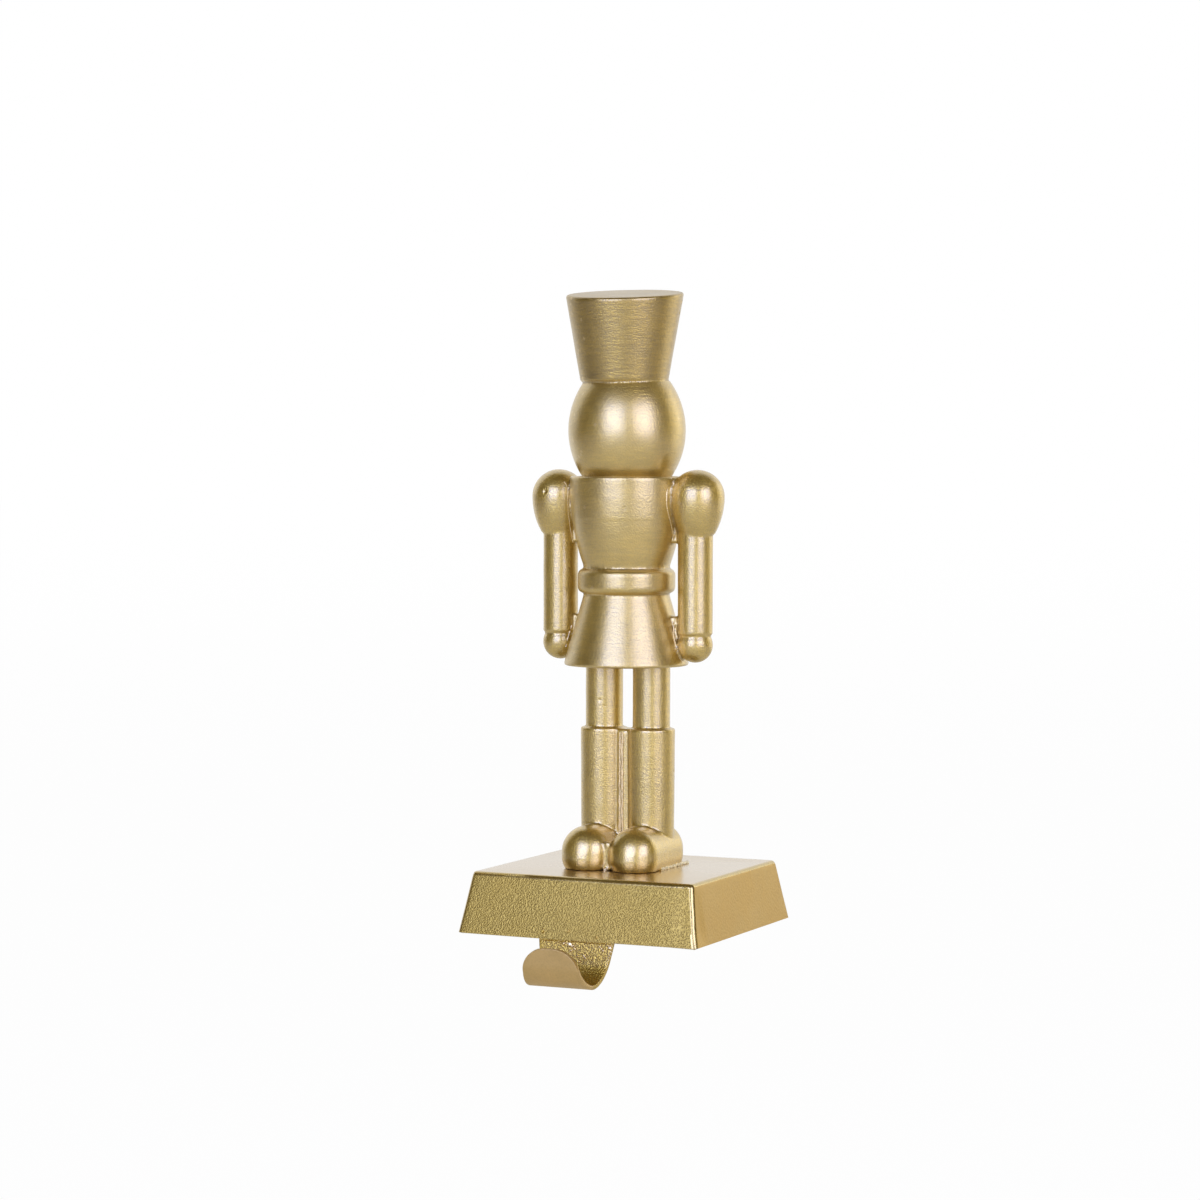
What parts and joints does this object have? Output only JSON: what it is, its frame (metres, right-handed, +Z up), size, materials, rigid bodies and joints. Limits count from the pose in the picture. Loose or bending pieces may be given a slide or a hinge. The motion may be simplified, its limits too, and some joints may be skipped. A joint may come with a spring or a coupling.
{
  "type": "mantel stocking holder",
  "caption": "Mantel stocking holder: a cast soldier figure screwed to a folded sheet base, with a bent strip hook below the base's front edge.",
  "frame": {"origin": "middle of the base's lower rim, the plane that stands on the shelf; the hook hangs below it", "axes": "+X to the viewer's right, -Y to the front where the hook is, +Z up"},
  "size_m": [0.0958, 0.1121, 0.2519],
  "materials": {
    "gold_paint": "satin gold paint with a fine grain on folded steel",
    "cast_gold": "satin gold paint over fine turned lines on cast aluminium",
    "zinc_plate": "bright zinc plate"
  },
  "bodies": {
    "root": {"base_shell": "gold_paint", "stocking_hook": "gold_paint", "hook_weld_beads": "gold_paint", "soldier_figure": "cast_gold", "left_foot_screw": "zinc_plate", "right_foot_screw": "zinc_plate", "left_foot_washer": "zinc_plate", "right_foot_washer": "zinc_plate"}
  },
  "joints": []
}
